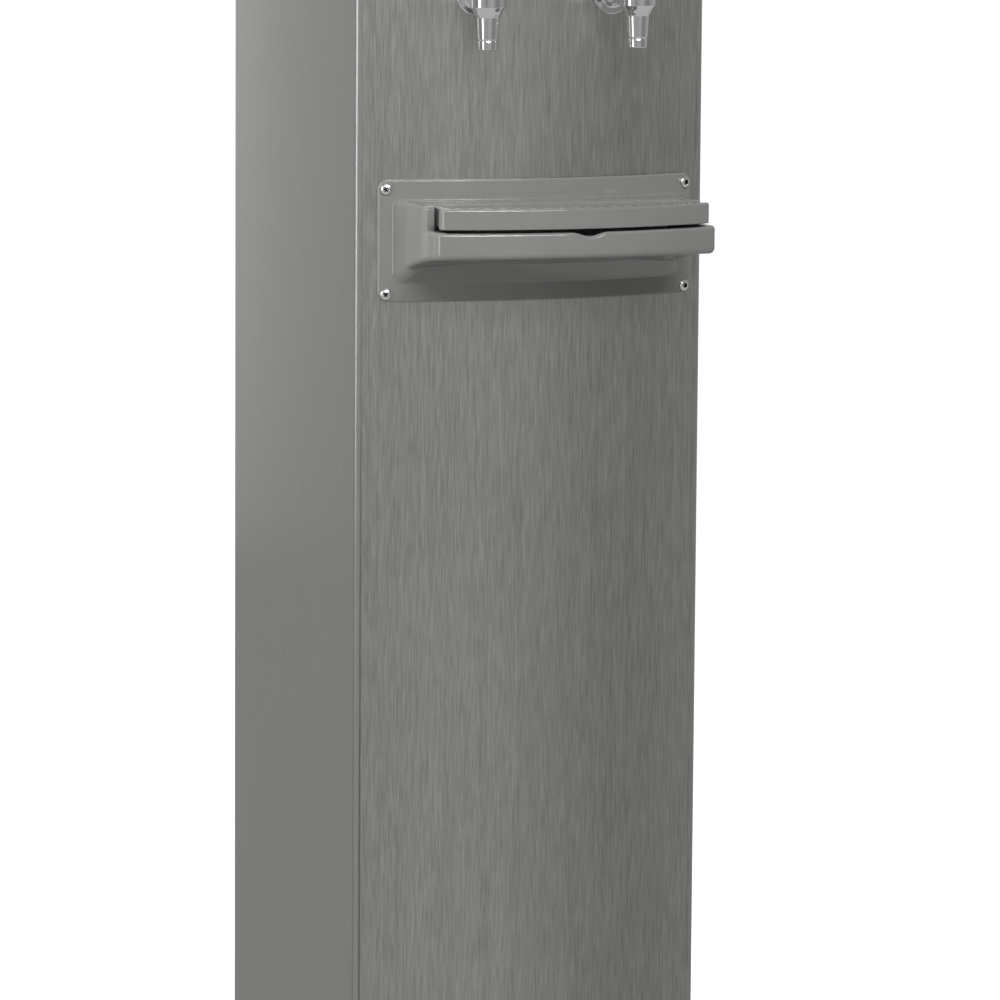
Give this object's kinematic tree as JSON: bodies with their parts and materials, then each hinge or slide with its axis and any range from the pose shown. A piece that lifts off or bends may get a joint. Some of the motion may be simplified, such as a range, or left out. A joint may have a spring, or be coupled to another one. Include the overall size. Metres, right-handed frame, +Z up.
{
  "type": "drinking water dispenser",
  "caption": "Free-standing stainless water dispenser with a bowed front, push taps over a moulded drip tray with a lift-up grille, and a tank and cooling circuit inside.",
  "frame": {"origin": "middle of the footprint (lip of the drip tray to the rear fittings) on the floor", "axes": "+Z up, -Y out of the bowed front, +X to the right of a user who faces the front"},
  "size_m": [0.318, 0.4754, 1.16],
  "materials": {
    "brushed_front": "vertical brushed stainless, satin",
    "brushed_side": "fine vertical brushed stainless, satin",
    "grey_plastic": "moulded ABS, glossy",
    "dark_plastic": "moulded, fine texture",
    "bright_steel": "polished stainless",
    "chrome": "plated, mirror",
    "zinc": "galvanised sheet",
    "black_paint": "semi-gloss enamel",
    "copper": "drawn copper tube",
    "foam": "closed-cell foam, matt",
    "rubber": "matt",
    "hose": "translucent PVC",
    "blue_tube": "polyethylene tube"
  },
  "bodies": {
    "cabinet": {"front_panel": "brushed_front", "side_panel_left": "brushed_side", "side_panel_right": "brushed_side", "rear_panel": "zinc", "top_cover": "grey_plastic", "base_pan": "zinc", "tank_shelf": "zinc", "levelling_foot_front_left": "rubber", "levelling_foot_front_right": "rubber", "levelling_foot_rear_left": "rubber", "levelling_foot_rear_right": "rubber", "drip_tray": "grey_plastic", "tray_gasket": "rubber", "tray_screw_upper_left": "bright_steel", "tray_screw_upper_right": "bright_steel", "tray_screw_lower_left": "bright_steel", "tray_screw_lower_right": "bright_steel", "weld_nut_upper_left": "zinc", "weld_nut_upper_right": "zinc", "weld_nut_lower_left": "zinc", "weld_nut_lower_right": "zinc", "tap_body_left": "chrome", "tap_body_right": "chrome", "tap_nut_left": "zinc", "tap_nut_right": "zinc", "tap_spring_left": "bright_steel", "tap_spring_right": "bright_steel", "tap_tube_left": "blue_tube", "tap_tube_right": "blue_tube", "cold_tank": "bright_steel", "evaporator_coil": "copper", "foam_jacket_front": "foam", "foam_jacket_rear": "foam", "inlet_valve": "dark_plastic", "inlet_tube": "blue_tube", "drain_elbow": "grey_plastic", "drain_hose": "hose", "waste_outlet": "dark_plastic", "compressor": "black_paint", "compressor_rails": "zinc", "condenser_coil": "black_paint", "filter_dryer": "copper", "discharge_pipe": "copper", "liquid_pipe": "copper", "suction_pipe": "copper", "thermostat": "dark_plastic", "power_switch": "dark_plastic", "power_socket": "dark_plastic"},
    "grille": {"drip_grille": "grey_plastic"},
    "button_left": {"tap_button_left": "dark_plastic"},
    "button_right": {"tap_button_right": "dark_plastic"},
    "knob": {"thermostat_knob": "dark_plastic"},
    "rocker": {"switch_rocker": "dark_plastic"}
  },
  "joints": [
    {"name": "grille_lift", "type": "hinge", "parent": "cabinet", "child": "grille", "pos_m": [0, -0.16525, 0.847], "axis": [-1, 0, 0], "range_deg": [0, 85]},
    {"name": "tap_press_left", "type": "slide", "parent": "cabinet", "child": "button_left", "axis": [0, 0, -1], "range_m": [0, 0.006], "stiffness_N_per_m": 600, "springref_m": -0.002, "deforming": ["tap_spring_left"]},
    {"name": "tap_press_right", "type": "slide", "parent": "cabinet", "child": "button_right", "axis": [0, 0, -1], "range_m": [0, 0.006], "stiffness_N_per_m": 600, "springref_m": -0.002, "deforming": ["tap_spring_right"]},
    {"name": "thermostat_turn", "type": "hinge", "parent": "cabinet", "child": "knob", "pos_m": [-0.1, 0.21805, 0.66], "axis": [0, 1, 0], "range_deg": [0, 270]},
    {"name": "switch_rock", "type": "hinge", "parent": "cabinet", "child": "rocker", "pos_m": [0, 0.21525, 0.48], "axis": [1, 0, 0], "range_deg": [-18, 0]}
  ]
}
